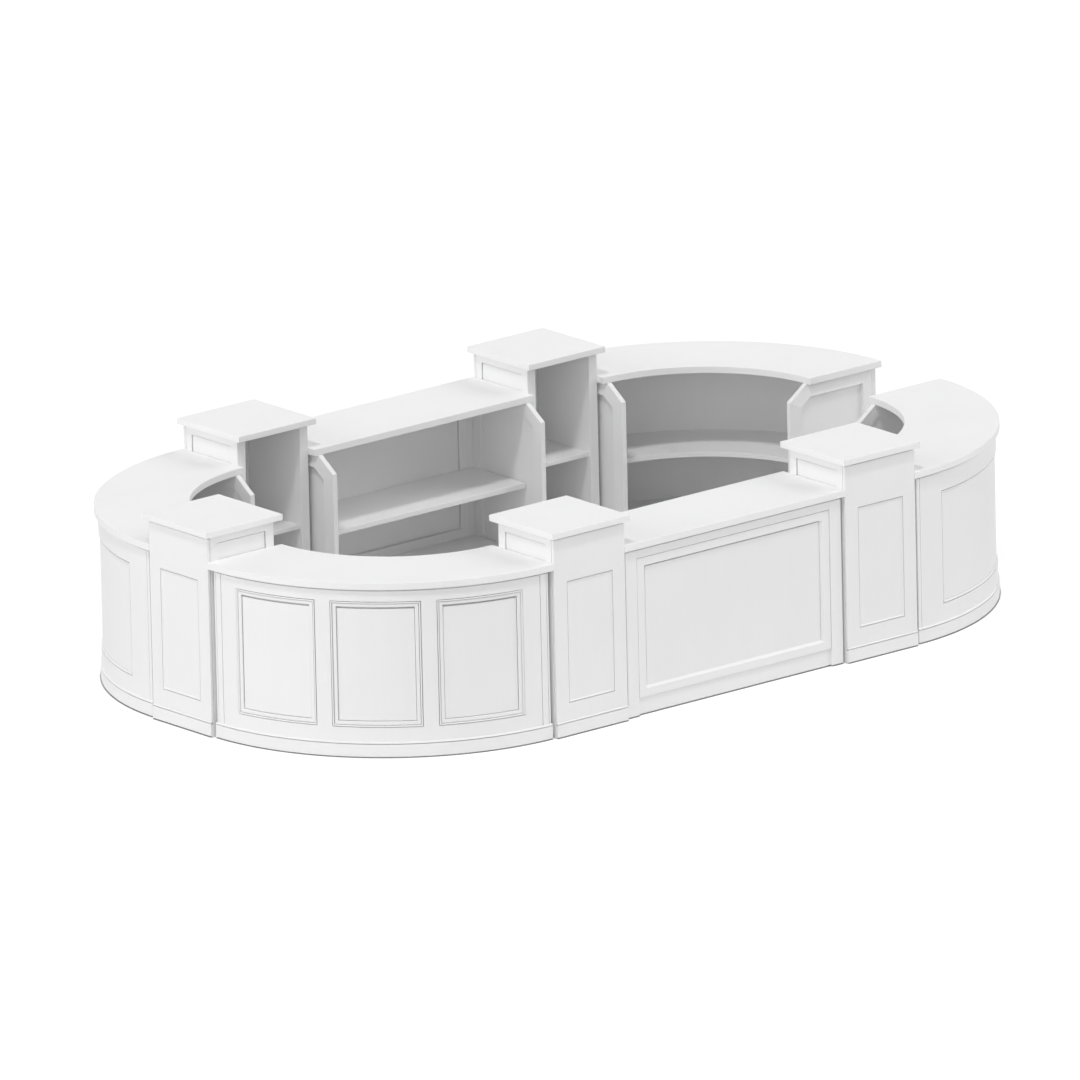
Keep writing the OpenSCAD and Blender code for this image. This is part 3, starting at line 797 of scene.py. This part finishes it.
# The photograph's own view, fitted to the corners in it: from far off, through a very long lens
SENSOR, LENS, CLIP = 36.0, 933.33, (10.0, 1000.0)
CAMERA_AT = (-101.599, -122.673, 46.601)
CAMERA_RIGHT = (0.76621522, -0.64222525, -0.02147006)
CAMERA_UP = (0.19415635, 0.19953177, 0.96046363)
CAMERA_FORWARD = (0.61255003, 0.7400904, -0.27757639)


def glow_node(tree, kind, strength):
    node = tree.nodes.new(kind)
    node.inputs["Color"].default_value = WHITE
    node.inputs["Strength"].default_value = strength
    return node


def grey_node(tree, tone):
    node = tree.nodes.new("ShaderNodeBsdfDiffuse")
    node.inputs["Color"].default_value = (tone, tone, tone, 1.0)
    return node


def camera_ray(tree):
    """1 for what the camera sees straight on or in a gloss or glass, 0 for the light on the object."""
    path = tree.nodes.new("ShaderNodeLightPath")
    value = path.outputs["Is Camera Ray"]
    for name in ("Is Glossy Ray", "Is Transmission Ray"):
        add = tree.nodes.new("ShaderNodeMath")
        add.operation = "MAXIMUM"
        tree.links.new(value, add.inputs[0])
        tree.links.new(path.outputs[name], add.inputs[1])
        value = add.outputs["Value"]
    return value


def seen_or_lit(tree, lit, seen, output):
    """Ends a node tree: one shader for the light on the object, another one for the camera."""
    mix = tree.nodes.new("ShaderNodeMixShader")
    tree.links.new(camera_ray(tree), mix.inputs["Fac"])
    tree.links.new(lit, mix.inputs[1])
    tree.links.new(seen, mix.inputs[2])
    tree.links.new(mix.outputs["Shader"], tree.nodes[output].inputs["Surface"])


def studio_world():
    world = bpy.data.worlds.new("studio")
    world.use_nodes = True
    tree = world.node_tree
    tree.nodes.remove(tree.nodes["Background"])
    lit = glow_node(tree, "ShaderNodeBackground", SKY_LIGHT)
    seen = glow_node(tree, "ShaderNodeBackground", SKY_SEEN)
    seen_or_lit(tree, lit.outputs["Background"], seen.outputs["Background"], "World Output")
    scene.world = world


def floor():
    """Pale floor: nearly white to the camera, with the shadow, and painted shade as a dark line where a board
    stands on it.
    """
    corners = [(x * FLOOR_HALF, y * FLOOR_HALF, 0) for x, y in ((-1, -1), (1, -1), (1, 1), (-1, 1))]
    mesh = bpy.data.meshes.new("floor")
    mesh.from_pydata(corners, [], [(0, 1, 2, 3)])
    material = bpy.data.materials.new("floor")
    material.use_nodes = True
    tree = material.node_tree
    tree.nodes.remove(tree.nodes["Principled BSDF"])
    # Painted shade: a board's nearness, from ambient occlusion, dims the floor's glow to a dark line at its
    # foot
    painted_shade_ao = tree.nodes.new("ShaderNodeAmbientOcclusion")
    painted_shade_ao.samples = FLOOR_SAMPLES
    painted_shade_ao.inputs["Distance"].default_value = FLOOR_SHADE_REACH
    level = tree.nodes.new("ShaderNodeMapRange")
    for name, value in FLOOR_GLOW_AND_PAINTED_SHADE.items():
        level.inputs[name].default_value = value
    tree.links.new(painted_shade_ao.outputs["AO"], level.inputs["Value"])
    glow = glow_node(tree, "ShaderNodeEmission", 1.0)
    tree.links.new(level.outputs["Result"], glow.inputs["Strength"])
    seen = tree.nodes.new("ShaderNodeAddShader")
    tree.links.new(glow.outputs["Emission"], seen.inputs[0])
    tree.links.new(grey_node(tree, FLOOR_PALE).outputs["BSDF"], seen.inputs[1])
    seen_or_lit(tree, grey_node(tree, FLOOR_TONE).outputs["BSDF"], seen.outputs["Shader"], "Material Output")
    mesh.materials.append(material)
    piece = bpy.data.objects.new("floor", mesh)
    scene.collection.objects.link(piece)


def sun(name, towards, strength, angle):
    light = bpy.data.lights.new(name, "SUN")
    light.energy = strength
    light.angle = math.radians(angle)
    lamp = bpy.data.objects.new(name, light)
    lamp.rotation_euler = Vector(towards).to_track_quat("-Z", "Y").to_euler()
    scene.collection.objects.link(lamp)


def camera():
    data = bpy.data.cameras.new("camera")
    data.sensor_width, data.lens = SENSOR, LENS
    data.clip_start, data.clip_end = CLIP
    made = bpy.data.objects.new("camera", data)
    rows = [(r, u, -f) for r, u, f in zip(CAMERA_RIGHT, CAMERA_UP, CAMERA_FORWARD)]
    made.matrix_world = Matrix.Translation(CAMERA_AT) @ Matrix(rows).to_4x4()
    scene.collection.objects.link(made)
    scene.camera = made


camera()
studio_world()
floor()
for lamp in LAMPS:
    sun(*lamp)
